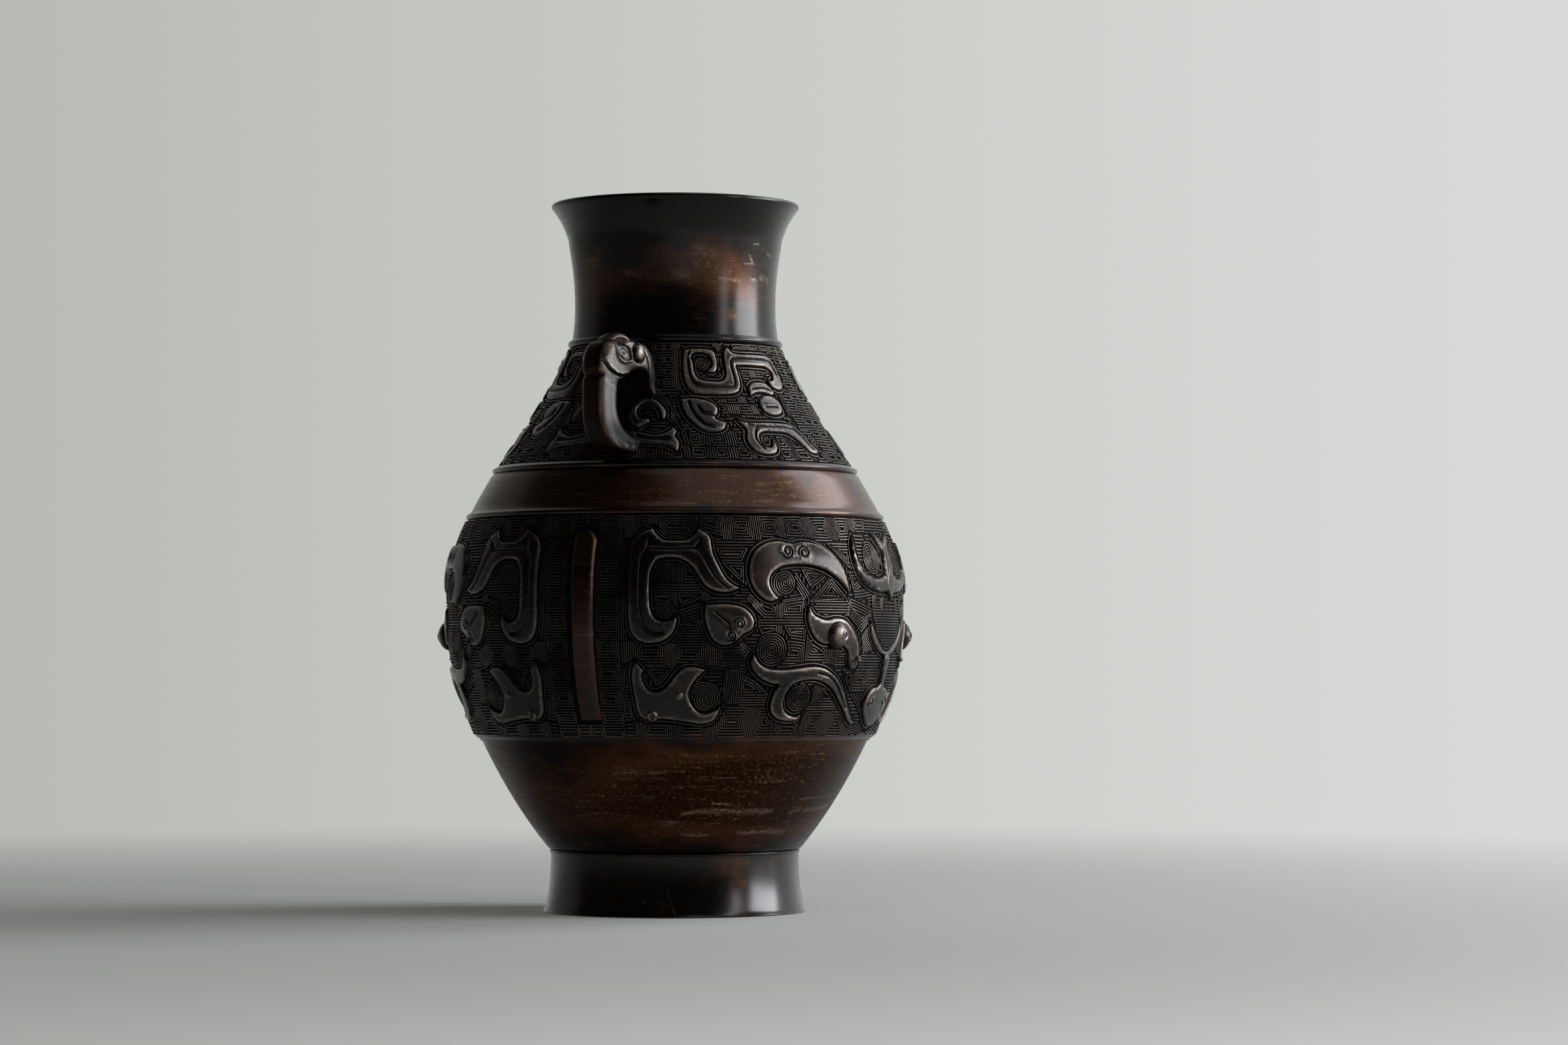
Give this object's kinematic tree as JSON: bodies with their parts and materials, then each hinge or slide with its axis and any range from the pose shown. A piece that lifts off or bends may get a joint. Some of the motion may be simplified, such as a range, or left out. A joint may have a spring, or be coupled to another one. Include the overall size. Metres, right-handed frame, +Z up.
{
  "type": "bronze vase",
  "caption": "Cast bronze vase with a flared neck, a round ornamented belly, a splayed foot and bird-head handles on the shoulder.",
  "frame": {"origin": "centre of the foot's resting ring, on the surface it stands on", "axes": "+Z up along the axis of the vessel, X through the two handles, Y through the middle of the two masks"},
  "size_m": [0.237, 0.2364, 0.3605],
  "materials": {
    "dark_bronze": "satin",
    "worn_bronze": "satin"
  },
  "bodies": {
    "root": {"vessel": "dark_bronze", "handle_left": "worn_bronze", "handle_right": "worn_bronze"}
  },
  "joints": []
}
